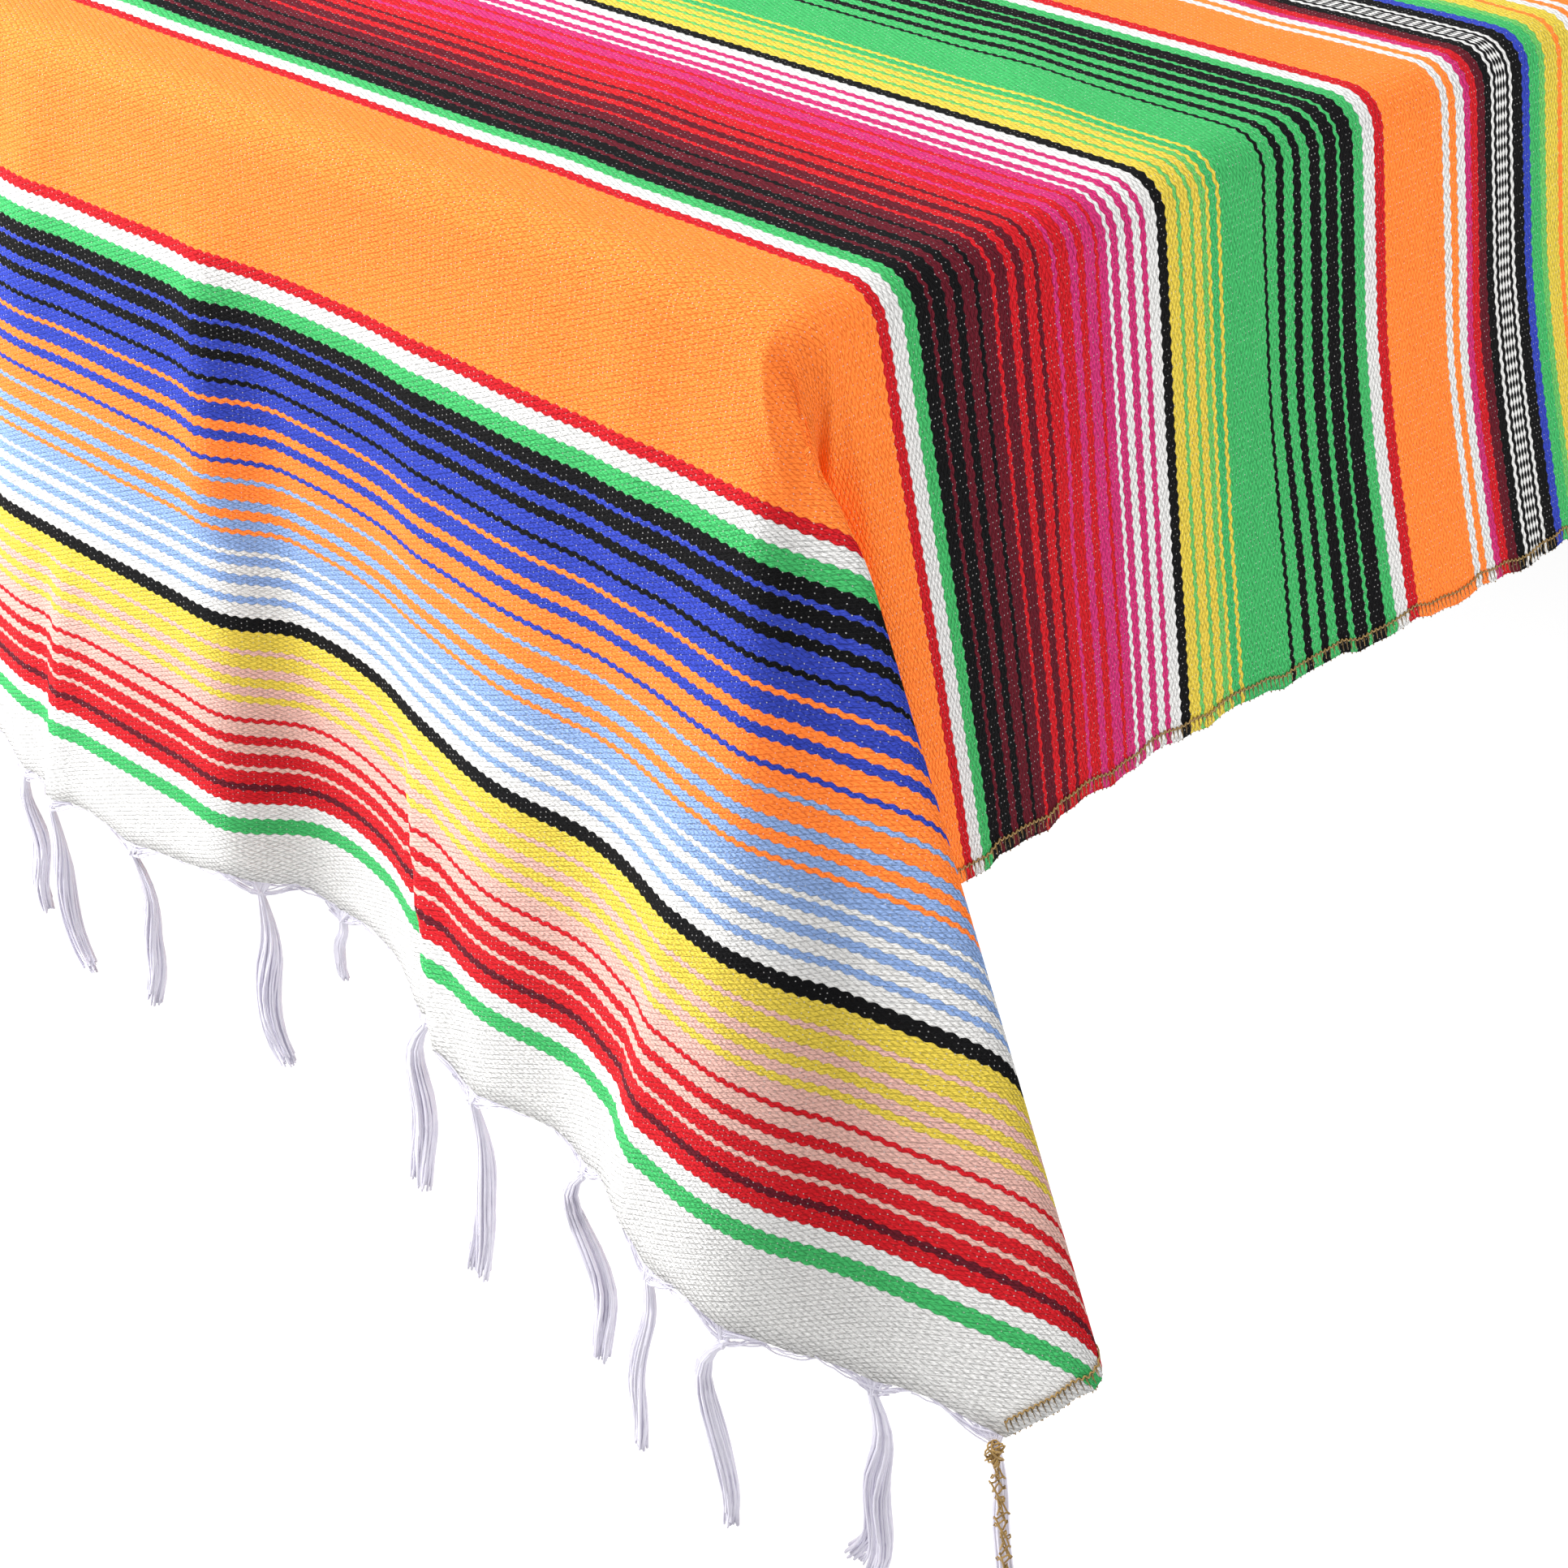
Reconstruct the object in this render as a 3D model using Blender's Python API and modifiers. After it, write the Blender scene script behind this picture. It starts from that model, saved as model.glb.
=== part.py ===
"""Mexican serape, a striped weft-faced blanket with knotted fringe on its two ends.

It hangs as a cover laid over a rectangular top that isn't there: flat in the middle, turned down
over four rims, with a folded ear at each corner. Metres, +Z up. X runs across the stripes, from
one fringed end to the other, and Y runs along them. The origin is the middle of the underside.
"""
from collections import namedtuple
from math import atan2, cos, hypot, pi, radians, sin

import bmesh
import bpy
import numpy as np

# Size of the cloth as it lies flat, and of the top that it covers.
CLOTH_LENGTH = 2.09
CLOTH_WIDTH = 1.51
TOP_LENGTH = 1.096
TOP_WIDTH = 0.89
END_DROP = (CLOTH_LENGTH - TOP_LENGTH) / 2
SIDE_DROP = (CLOTH_WIDTH - TOP_WIDTH) / 2
# The serged edge runs off across each corner of the cloth, from its side to its fringed end.
CUT_UP_SIDE = 0.090
CUT_ALONG_END = 0.068

WALL = 0.0022
BEND_RADIUS = 0.022
# Past this distance from a corner of the top, the corner's fold has its full depth.
FOLD_FORMS = 0.14

# Mesh steps: along the rim, round a corner, down the bend and down the hanging cloth.
RIM_STEP = 0.027
CORNER_STEP = radians(3.4)
BEND_STEPS = 2
HANG_STEPS = 5

# The fringe: a strip of twisted warp ends, then a knot and four locks for each tassel.
SEAM_GAP = 0.0004
STRIP_HEIGHT = 0.007
ROOT_WIDTH = 0.008
NECK_LENGTH = 0.006
KNOT_LENGTH = 0.011
KNOT_HALF = 0.0052
TASSEL_LENGTH = 0.118
LOCK_STEPS = 3
LOCK_SPREAD = 0.0050
LOCK_TIP_HALF = 0.0013
MERGE = 0.00001

# How far the hanging cloth leans, as metres sideways for each metre down.
Lean = namedtuple("Lean", "place out along")
NEAR_END = (
    Lean(0.100, 0.072, 0.000),
    Lean(0.190, 0.030, 0.000),
    Lean(0.280, 0.063, 0.000),
    Lean(0.360, 0.068, 0.000),
    Lean(0.430, 0.062, 0.002),
    Lean(0.475, 0.063, 0.000),
    Lean(0.530, -0.015, -0.027),
    Lean(0.600, -0.006, -0.024),
    Lean(0.660, 0.044, -0.039),
    Lean(0.740, 0.096, -0.045),
    Lean(0.810, 0.108, -0.024),
)
NEAR_SIDE = (
    Lean(0.060, 0.195, 0.030),
    Lean(0.150, 0.165, 0.000),
    Lean(0.240, 0.143, 0.000),
    Lean(0.340, 0.137, 0.000),
    Lean(0.450, 0.155, 0.000),
    Lean(0.570, 0.168, 0.000),
    Lean(0.700, 0.118, 0.000),
    Lean(0.830, 0.152, 0.000),
    Lean(0.960, 0.132, -0.010),
)
FAR_END = (
    Lean(0.090, 0.100, 0.030),
    Lean(0.180, 0.085, 0.040),
    Lean(0.270, 0.010, 0.030),
    Lean(0.350, 0.070, 0.000),
    Lean(0.450, 0.055, 0.000),
    Lean(0.540, 0.082, -0.010),
    Lean(0.630, 0.000, -0.030),
    Lean(0.710, 0.060, -0.040),
    Lean(0.800, 0.105, -0.030),
)
FAR_SIDE = (
    Lean(0.080, 0.180, 0.030),
    Lean(0.200, 0.135, 0.000),
    Lean(0.330, 0.165, 0.000),
    Lean(0.470, 0.122, 0.000),
    Lean(0.610, 0.158, 0.000),
    Lean(0.760, 0.140, 0.000),
    Lean(0.900, 0.168, 0.000),
    Lean(1.030, 0.182, -0.030),
)

# One corner's fold, from the fringed end round to the side: the lean over each of the two.
Turn = namedtuple("Turn", "over_end over_side")
EAR = (
    Turn(0.203, -0.024),
    Turn(0.217, 0.123),
    Turn(0.122, 0.268),
    Turn(0.046, 0.497),
    Turn(0.022, 0.397),
    Turn(0.020, 0.180),
    Turn(0.000, -0.080),
    Turn(-0.045, 0.170),
    Turn(-0.070, 0.205),
)
# How far each corner's ear reaches, beside the one at the near end.
EAR_REACH = {"near_left": 1.00, "near_right": 0.90, "far_right": 1.05, "far_left": 0.94}

# Where the tassels hang along the near end, from one corner of the cloth to the other.
TASSEL_PLACES = (-0.682, -0.628, -0.552, -0.481, -0.405, -0.332, -0.262, -0.187, -0.145, -0.064,
                 0.051, 0.102, 0.218, 0.291, 0.380, 0.475, 0.538, 0.623, 0.682)

Station = namedtuple("Station", "start outward near_lean far_lean reach across")


def smooth_rows(knots, values, places):
    """Cubic Hermite curve through rows, with each row's slope taken from its neighbours."""
    knots = np.asarray(knots, float)
    values = np.asarray(values, float)
    slopes = np.gradient(values, knots, axis=0)
    row = np.clip(np.searchsorted(knots, places, side="right") - 1, 0, len(knots) - 2)
    span = (knots[row + 1] - knots[row])[:, None]
    s = (places - knots[row])[:, None] / span
    return (
        (2 * s**3 - 3 * s**2 + 1) * values[row]
        + (s**3 - 2 * s**2 + s) * span * slopes[row]
        + (3 * s**2 - 2 * s**3) * values[row + 1]
        + (s**3 - s**2) * span * slopes[row + 1]
    )


def ear_rows(reach, end_first):
    """The corner's rows in walking order, its ear made longer or shorter by reach."""
    rows = [(row.over_end, row.over_side * (reach if row.over_side > 0.22 else 1.0)) for row in EAR]
    if end_first:
        return rows
    return [(over_side, over_end) for over_end, over_side in reversed(rows)]


def corner_stations(centre, first_out, second_out, rows, first_drop, second_drop):
    """Generators fan out from one corner; the cloth's quarter turn follows the rows' arc length."""
    leans = np.asarray(rows)
    down = np.column_stack([leans, -np.ones(len(leans))])
    down /= np.linalg.norm(down, axis=1, keepdims=True)
    steps = np.arccos(np.clip((down[1:] * down[:-1]).sum(axis=1), -1, 1))
    arc = np.concatenate([[0.0], np.cumsum(steps)])
    knots = arc / arc[-1] * pi / 2
    from_end = first_drop == END_DROP
    cut_marks = [atan2(SIDE_DROP - CUT_ALONG_END, END_DROP), atan2(SIDE_DROP, END_DROP - CUT_UP_SIDE)]
    if not from_end:
        cut_marks = [pi / 2 - mark for mark in reversed(cut_marks)]
    angles = np.array([0.0])
    for begin, finish in zip([0.0] + cut_marks, cut_marks + [pi / 2]):
        steps_between = max(2, round((finish - begin) / CORNER_STEP))
        angles = np.append(angles, np.linspace(begin, finish, steps_between + 1)[1:])
    folded = smooth_rows(knots, leans, angles)
    share = (angles / (pi / 2))[:, None]
    plain = leans[0] * (1 - share) + leans[-1] * share
    axes = np.array([first_out, second_out], float)
    stations = []
    for angle, plain_lean, fold_lean in zip(angles, plain @ axes, folded @ axes):
        outward = cos(angle) * axes[0] + sin(angle) * axes[1]
        down_end, over_side = (cos(angle), sin(angle)) if from_end else (sin(angle), cos(angle))
        cut_line = END_DROP / CUT_UP_SIDE + SIDE_DROP / CUT_ALONG_END - 1
        reach = min(
            END_DROP / max(down_end, MERGE),
            SIDE_DROP / max(over_side, MERGE),
            cut_line / (down_end / CUT_UP_SIDE + over_side / CUT_ALONG_END))
        stations.append(Station(centre, outward, plain_lean, fold_lean, reach, reach * over_side))
    return stations


def rim_stations(start, outward, travel, length, table, first_lean, last_lean, drop):
    """Generators hang side by side along one rim, at the leans of its table."""
    knots = [0.0] + [row.place for row in table] + [length]
    leans = [first_lean] + [(row.out, row.along) for row in table] + [last_lean]
    count = round(length / RIM_STEP)
    places = np.linspace(0, length, count + 1)[1:-1]
    axes = np.array([outward, travel], float)
    found = smooth_rows(knots, leans, places) @ axes
    stations = []
    for place, lean in zip(places, found):
        point = start + place * axes[1]
        stations.append(Station(point, axes[0], lean, lean, drop, 0.0))
    return stations


def all_stations():
    """Walk the rim once, anticlockwise from above, and return the stations by their place."""
    half_x = TOP_LENGTH / 2
    half_y = TOP_WIDTH / 2
    west, south = np.array([-1.0, 0.0]), np.array([0.0, -1.0])
    east, north = -west, -south
    near_left = ear_rows(EAR_REACH["near_left"], True)
    near_right = ear_rows(EAR_REACH["near_right"], False)
    far_right = ear_rows(EAR_REACH["far_right"], True)
    far_left = ear_rows(EAR_REACH["far_left"], False)

    def leaving(rows):
        """The lean with which a rim starts, after a corner: out over it, then along it."""
        first, second = rows[-1]
        return (second, -first)

    return {
        "near_end": rim_stations(
            np.array([-half_x, half_y]), west, south, TOP_WIDTH, NEAR_END,
            leaving(far_left), near_left[0], END_DROP),
        "near_left": corner_stations(
            np.array([-half_x, -half_y]), west, south, near_left, END_DROP, SIDE_DROP),
        "near_side": rim_stations(
            np.array([-half_x, -half_y]), south, east, TOP_LENGTH, NEAR_SIDE,
            leaving(near_left), near_right[0], SIDE_DROP),
        "near_right": corner_stations(
            np.array([half_x, -half_y]), south, east, near_right, SIDE_DROP, END_DROP),
        "far_end": rim_stations(
            np.array([half_x, -half_y]), east, north, TOP_WIDTH, FAR_END,
            leaving(near_right), far_right[0], END_DROP),
        "far_right": corner_stations(
            np.array([half_x, half_y]), east, north, far_right, END_DROP, SIDE_DROP),
        "far_side": rim_stations(
            np.array([half_x, half_y]), north, west, TOP_LENGTH, FAR_SIDE,
            leaving(far_right), far_left[0], SIDE_DROP),
        "far_left": corner_stations(
            np.array([-half_x, half_y]), north, west, far_left, SIDE_DROP, END_DROP),
    }


def hanging_points(stations, depths):
    """Points at a cloth distance below each station: an arc from level to the lean, then straight."""
    start = np.array([np.append(s.start, WALL) for s in stations])
    outward = np.array([np.append(s.outward, 0.0) for s in stations])
    near = np.array([s.near_lean for s in stations])
    far = np.array([s.far_lean for s in stations])
    formed = np.clip(depths / FOLD_FORMS, 0, 1)[:, None]
    formed = formed**2 * (3 - 2 * formed)
    lean = near + (far - near) * formed
    down = np.column_stack([lean, -np.ones(len(lean))])
    down /= np.linalg.norm(down, axis=1, keepdims=True)
    level = (down * outward).sum(axis=1, keepdims=True)
    turn = np.arccos(np.clip(level, -1, 1))
    side = down - level * outward
    side /= np.linalg.norm(side, axis=1, keepdims=True)
    angle = np.minimum(depths[:, None] / BEND_RADIUS, turn)
    rest = np.maximum(depths[:, None] - BEND_RADIUS * turn, 0)
    bend = BEND_RADIUS * (np.sin(angle) * outward + (1 - np.cos(angle)) * side)
    return start + bend + rest * down


def material(name, colour, roughness):
    """A plain matt cloth of one colour."""
    mat = bpy.data.materials.new(name)
    mat.use_nodes = True
    shader = mat.node_tree.nodes["Principled BSDF"]
    shader.inputs["Base Color"].default_value = (*colour, 1.0)
    shader.inputs["Roughness"].default_value = roughness
    shader.inputs["Metallic"].default_value = 0.0
    return mat


def object_from_mesh(name, mesh, mat, collection):
    """An object for a finished mesh, with its material, in the serape's collection."""
    mesh.materials.clear()
    mesh.materials.append(mat)
    obj = bpy.data.objects.new(name, mesh)
    collection.objects.link(obj)
    return obj


def add_wall(obj):
    """Thickness under the outer surface; a cloth is an open surface given a wall."""
    wall = obj.modifiers.new("wall", "SOLIDIFY")
    wall.thickness = WALL
    wall.offset = -1.0
    wall.use_even_offset = False
    return wall


def woven_panel(places, mat, collection):
    """The whole cloth: rings of points from the rim to the hem, and the flat top inside them."""
    stations = [station for place in places.values() for station in place]
    reach = np.array([s.reach for s in stations])
    bend_length = BEND_RADIUS * pi / 2
    depths = [bend_length * i / BEND_STEPS * np.ones(len(stations)) for i in range(BEND_STEPS + 1)]
    depths += [bend_length + (reach - bend_length) * i / HANG_STEPS for i in range(1, HANG_STEPS + 1)]
    rings = [hanging_points(stations, depth) for depth in depths]
    bm = bmesh.new()
    verts = [[bm.verts.new(point) for point in ring] for ring in rings]
    count = len(stations)
    for upper, lower in zip(verts, verts[1:]):
        for i in range(count):
            j = (i + 1) % count
            bm.faces.new((upper[i], lower[i], lower[j], upper[j]))
    bm.faces.new(verts[0])
    bmesh.ops.remove_doubles(bm, verts=bm.verts, dist=MERGE)
    bmesh.ops.recalc_face_normals(bm, faces=bm.faces)
    top = max(bm.faces, key=lambda face: face.calc_area())
    if top.normal.z < 0:
        bmesh.ops.reverse_faces(bm, faces=bm.faces)
    mesh = bpy.data.meshes.new("serape_panel")
    bm.to_mesh(mesh)
    bm.free()
    obj = object_from_mesh("serape_panel", mesh, mat, collection)
    add_wall(obj)
    return obj


def hem_walk(before, rim, after):
    """The stations of one fringed end, and how far along the cloth each lies from its middle."""
    lead, trail = [
        [s for s in corner if abs(s.reach - hypot(s.across, END_DROP)) < MERGE]
        for corner in (before, after)
    ]
    stations = lead + list(rim) + trail
    rim_places = np.linspace(0, TOP_WIDTH, len(rim) + 2)[1:-1] - TOP_WIDTH / 2
    places = [-TOP_WIDTH / 2 - s.across for s in lead]
    places += list(rim_places)
    places += [TOP_WIDTH / 2 + s.across for s in trail]
    return stations, np.array(places)


def extrude_to(bm, face, corners):
    """Push one face out into a block whose far end has the given corners."""
    new_face = bmesh.ops.extrude_discrete_faces(bm, faces=[face])["faces"][0]
    for vert, corner in zip(new_face.verts, corners):
        vert.co = corner
    return new_face


def block_end(centre, outward, half, turn=0.0):
    """Four corners of a level square, in the order of the strip's lower faces."""
    along = np.array([-outward[1], outward[0], 0.0])
    spin = turn + pi / 4
    size = half * 2**0.5
    corners = []
    for quarter in range(4):
        angle = spin + quarter * pi / 2
        corners.append(centre + size * (cos(angle) * outward + sin(angle) * along))
    return corners


def matched(face, corners):
    """The corners, in the order and direction that lies nearest to the face's own."""
    own = [np.array(vert.co) for vert in face.verts]
    orders = [corners[k:] + corners[:k] for k in range(4)]
    orders += [list(reversed(order)) for order in orders]
    return min(orders, key=lambda order: sum(np.linalg.norm(a[:2] - b[:2]) for a, b in zip(own, order)))


def tassel(bm, root, number):
    """Neck, knot and four locks, which hang straight down from one lower face of the strip."""
    centre = np.array(root.calc_center_median())
    normal_edge = max(root.edges, key=lambda edge: edge.calc_length())
    along = np.array(normal_edge.verts[1].co - normal_edge.verts[0].co)
    along[2] = 0.0
    along /= np.linalg.norm(along)
    outward = np.array([along[1], -along[0], 0.0])
    length = TASSEL_LENGTH * (1 + 0.06 * sin(2.3 * number))
    sway = 0.006 * sin(1.7 * number)
    face = root
    heights = (NECK_LENGTH, NECK_LENGTH + 0.3 * KNOT_LENGTH, NECK_LENGTH + 0.75 * KNOT_LENGTH,
               NECK_LENGTH + KNOT_LENGTH)
    halves = (0.0022, KNOT_HALF, KNOT_HALF, 0.0034)
    for height, half in zip(heights, halves):
        place = centre - np.array([0, 0, height])
        face = extrude_to(bm, face, matched(face, block_end(place, outward, half)))
    before = set(bm.faces) - {face}
    bmesh.ops.subdivide_edges(bm, edges=list(face.edges), cuts=1, use_grid_fill=True)
    quarters = [f for f in bm.faces if f not in before and len(f.verts) == 4]
    knot_end = centre[2] - heights[-1]
    quarters = [f for f in quarters if all(abs(v.co.z - knot_end) < MERGE for v in f.verts)]
    for which, quarter in enumerate(quarters):
        offset = np.array(quarter.calc_center_median()) - centre
        offset[2] = 0.0
        offset /= np.linalg.norm(offset)
        fall = length * (1 - 0.05 * ((which * 3 + number) % 4))
        block = quarter
        for step in range(1, LOCK_STEPS + 1):
            part = step / LOCK_STEPS
            spread = offset * (0.0026 + LOCK_SPREAD * part)
            wave = along * sway * sin(pi * 1.3 * part) + outward * 0.5 * sway * sin(pi * part)
            drop = heights[-1] + (fall - heights[-1]) * part
            place = centre + spread + wave - np.array([0, 0, drop])
            half = 0.0019 + (LOCK_TIP_HALF - 0.0019) * part
            block = extrude_to(bm, block, matched(block, block_end(place, outward, half)))


def fringe(name, stations, places, tassel_places, mat, collection):
    """One end's fringe: a strip just below the hem, along its folds, with the tassels on it."""
    reach = np.array([s.reach for s in stations])
    slant = reach / END_DROP
    marks = np.sort(np.concatenate(
        [places] + [np.array([p - ROOT_WIDTH / 2, p + ROOT_WIDTH / 2]) for p in tassel_places]))
    marks = marks[(marks >= places[0]) & (marks <= places[-1])]
    crowded = np.diff(marks, prepend=marks[0] - 1) < 0.0015
    marks = marks[~crowded]
    rows = []
    for below in (SEAM_GAP, SEAM_GAP + STRIP_HEIGHT):
        points = hanging_points(stations, reach + below * slant)
        rows.append(np.column_stack([np.interp(marks, places, points[:, k]) for k in range(3)]))
    bm = bmesh.new()
    upper, lower = [[bm.verts.new(point) for point in row] for row in rows]
    for i in range(len(marks) - 1):
        bm.faces.new((upper[i], lower[i], lower[i + 1], upper[i + 1]))
    mesh = bpy.data.meshes.new(name)
    bm.to_mesh(mesh)
    bm.free()
    strip = object_from_mesh(name, mesh, mat, collection)
    add_wall(strip)
    evaluated = strip.evaluated_get(bpy.context.evaluated_depsgraph_get())
    walled = bpy.data.meshes.new_from_object(evaluated)
    strip.modifiers.clear()
    bm = bmesh.new()
    bm.from_mesh(walled)
    lower_edge = rows[1]
    roots = []
    for place in tassel_places:
        left = np.array([np.interp(place - ROOT_WIDTH / 2, marks, lower_edge[:, k]) for k in range(3)])
        right = np.array([np.interp(place + ROOT_WIDTH / 2, marks, lower_edge[:, k]) for k in range(3)])
        middle = (left + right) / 2
        level = [f for f in bm.faces if f.normal.z < -0.7]
        roots.append(min(level, key=lambda f: np.linalg.norm(np.array(f.calc_center_median()) - middle)))
    for number, root in enumerate(roots):
        tassel(bm, root, number)
    bm.to_mesh(walled)
    bm.free()
    strip.data = walled
    bpy.data.meshes.remove(mesh)
    return strip


def main():
    for obj in list(bpy.data.objects):
        bpy.data.objects.remove(obj, do_unlink=True)
    collection = bpy.data.collections.new("mexican_serape")
    bpy.context.scene.collection.children.link(collection)
    wool = material("striped_acrylic_weft", (0.90, 0.32, 0.05), 0.9)
    cotton = material("white_cotton_warp", (0.86, 0.86, 0.88), 0.85)

    places = all_stations()
    woven_panel(places, wool, collection)

    near = hem_walk(places["far_left"], places["near_end"], places["near_left"])
    fringe("fringe_near_end", *near, TASSEL_PLACES, cotton, collection)

    far = hem_walk(places["near_right"], places["far_end"], places["far_right"])
    far_tassels = sorted(-place for place in TASSEL_PLACES)
    fringe("fringe_far_end", *far, far_tassels, cotton, collection)


main()
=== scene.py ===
# %% [markdown]
# # A Mexican serape, draped
#
# A serape is a striped blanket. Thick acrylic weft is beaten down over thin white cotton warp, so
# the colour is all in the weft and the warp shows only as small white dots. Here it covers a
# rectangular top that isn't built. X runs across the stripes, Y along them, and Z is up.
#
# The drape could come from a cloth simulation, but then each fold would fall where it liked. It is
# worked out from a short table of leans instead, the same that the solid frame uses, so the folds
# sit where the photograph has them.

# %% Load the frame
from collections import namedtuple
from math import atan2, pi, radians

import bpy
import numpy as np
from mathutils import Matrix, Vector


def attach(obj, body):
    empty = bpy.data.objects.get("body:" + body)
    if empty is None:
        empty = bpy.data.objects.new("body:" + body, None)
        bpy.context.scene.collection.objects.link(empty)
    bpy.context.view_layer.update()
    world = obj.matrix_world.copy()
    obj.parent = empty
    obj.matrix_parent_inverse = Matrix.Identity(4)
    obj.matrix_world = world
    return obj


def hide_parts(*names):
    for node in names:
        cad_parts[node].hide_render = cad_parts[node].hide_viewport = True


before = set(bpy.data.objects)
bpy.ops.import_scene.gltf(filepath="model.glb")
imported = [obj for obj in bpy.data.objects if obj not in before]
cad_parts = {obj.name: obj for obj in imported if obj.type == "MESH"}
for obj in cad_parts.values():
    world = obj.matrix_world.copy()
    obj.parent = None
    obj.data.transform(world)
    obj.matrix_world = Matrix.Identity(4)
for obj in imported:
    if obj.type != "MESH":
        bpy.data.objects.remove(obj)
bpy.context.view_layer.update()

# %% Sizes of the cloth
CLOTH_LENGTH = 2.09
CLOTH_WIDTH = 1.51
TOP_LENGTH = 1.096
TOP_WIDTH = 0.89
END_DROP = (CLOTH_LENGTH - TOP_LENGTH) / 2
SIDE_DROP = (CLOTH_WIDTH - TOP_WIDTH) / 2
CUT_UP_SIDE = 0.090
CUT_ALONG_END = 0.068
WALL = 0.0022
BEND_RADIUS = 0.022
FOLD_FORMS = 0.14
BEND_LENGTH = BEND_RADIUS * pi / 2
print(f"drops: {END_DROP:.3f} m at the fringed ends, {SIDE_DROP:.3f} m at the serged sides")

# %% [markdown]
# ## The drape
#
# Cloth that hangs from a straight rim is close to a ruled surface: each line straight down the
# cloth stays nearly straight, and only leans out or in. So a fold is a row of leans, in metres
# sideways for each metre down, and the surface between two rows follows a smooth curve. At each
# corner the lines fan out from one point, and the spare cloth folds into an ear.

# %% Tables of leans
Lean = namedtuple("Lean", "place out along")
NEAR_END = (
    Lean(0.100, 0.072, 0.000),
    Lean(0.190, 0.030, 0.000),
    Lean(0.280, 0.063, 0.000),
    Lean(0.360, 0.068, 0.000),
    Lean(0.430, 0.062, 0.002),
    Lean(0.475, 0.063, 0.000),
    Lean(0.530, -0.015, -0.027),
    Lean(0.600, -0.006, -0.024),
    Lean(0.660, 0.052, -0.030),
    Lean(0.740, 0.118, -0.025),
    Lean(0.810, 0.108, -0.024),
)
NEAR_SIDE = (
    Lean(0.060, 0.195, 0.030),
    Lean(0.150, 0.165, 0.000),
    Lean(0.240, 0.143, 0.000),
    Lean(0.340, 0.137, 0.000),
    Lean(0.450, 0.155, 0.000),
    Lean(0.570, 0.168, 0.000),
    Lean(0.700, 0.118, 0.000),
    Lean(0.830, 0.152, 0.000),
    Lean(0.960, 0.132, -0.010),
)
FAR_END = (
    Lean(0.090, 0.100, 0.030),
    Lean(0.180, 0.085, 0.040),
    Lean(0.270, 0.010, 0.030),
    Lean(0.350, 0.070, 0.000),
    Lean(0.450, 0.055, 0.000),
    Lean(0.540, 0.082, -0.010),
    Lean(0.630, 0.000, -0.030),
    Lean(0.710, 0.060, -0.040),
    Lean(0.800, 0.105, -0.030),
)
FAR_SIDE = (
    Lean(0.080, 0.180, 0.030),
    Lean(0.200, 0.135, 0.000),
    Lean(0.330, 0.165, 0.000),
    Lean(0.470, 0.122, 0.000),
    Lean(0.610, 0.158, 0.000),
    Lean(0.760, 0.140, 0.000),
    Lean(0.900, 0.168, 0.000),
    Lean(1.030, 0.182, -0.030),
)
Turn = namedtuple("Turn", "over_end over_side")
EAR = (
    Turn(0.203, -0.024),
    Turn(0.217, 0.123),
    Turn(0.122, 0.268),
    Turn(0.046, 0.497),
    Turn(0.022, 0.397),
    Turn(0.020, 0.180),
    Turn(0.000, -0.080),
    Turn(-0.045, 0.170),
    Turn(-0.070, 0.205),
)
EAR_REACH = {"near_left": 1.00, "near_right": 0.90, "far_right": 1.05, "far_left": 0.94}
LONG_LEAN = 0.22

# %% [markdown]
# The stations are the lines down the cloth, in walking order round the rim. Each is a row in five
# arrays, so that the whole cloth is worked out at once: where it starts, which way is outward on
# the flat cloth, its lean near the rim and lower down, and how far it is to the cloth's edge.

# %% Stations round the rim
Walk = namedtuple("Walk", "start outward near_lean far_lean reach")
COLUMNS_ALONG = 92
COLUMNS_ACROSS = 78
CORNER_STEP = radians(1.5)
TINY = 1e-5
NOT_ZERO = 1e-12


def smooth_rows(knots, values, places):
    """Cubic Hermite curve through rows: two points and two slopes blend over each span."""
    knots, values = np.asarray(knots, float), np.asarray(values, float)
    slopes = np.gradient(values, knots, axis=0)
    row = np.clip(np.searchsorted(knots, places, side="right") - 1, 0, len(knots) - 2)
    span = (knots[row + 1] - knots[row])[:, None]
    s = (places - knots[row])[:, None] / span
    return (
        (2 * s**3 - 3 * s**2 + 1) * values[row]
        + (s**3 - 2 * s**2 + s) * span * slopes[row]
        + (3 * s**2 - 2 * s**3) * values[row + 1]
        + (s**3 - s**2) * span * slopes[row + 1]
    )


def ear_rows(corner, end_first):
    """A corner's rows in walking order, with its long leans scaled by its reach."""
    reach = EAR_REACH[corner]
    rows = [(r.over_end, r.over_side * (reach if r.over_side > LONG_LEAN else 1)) for r in EAR]
    return rows if end_first else [(side, end) for end, side in reversed(rows)]


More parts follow.
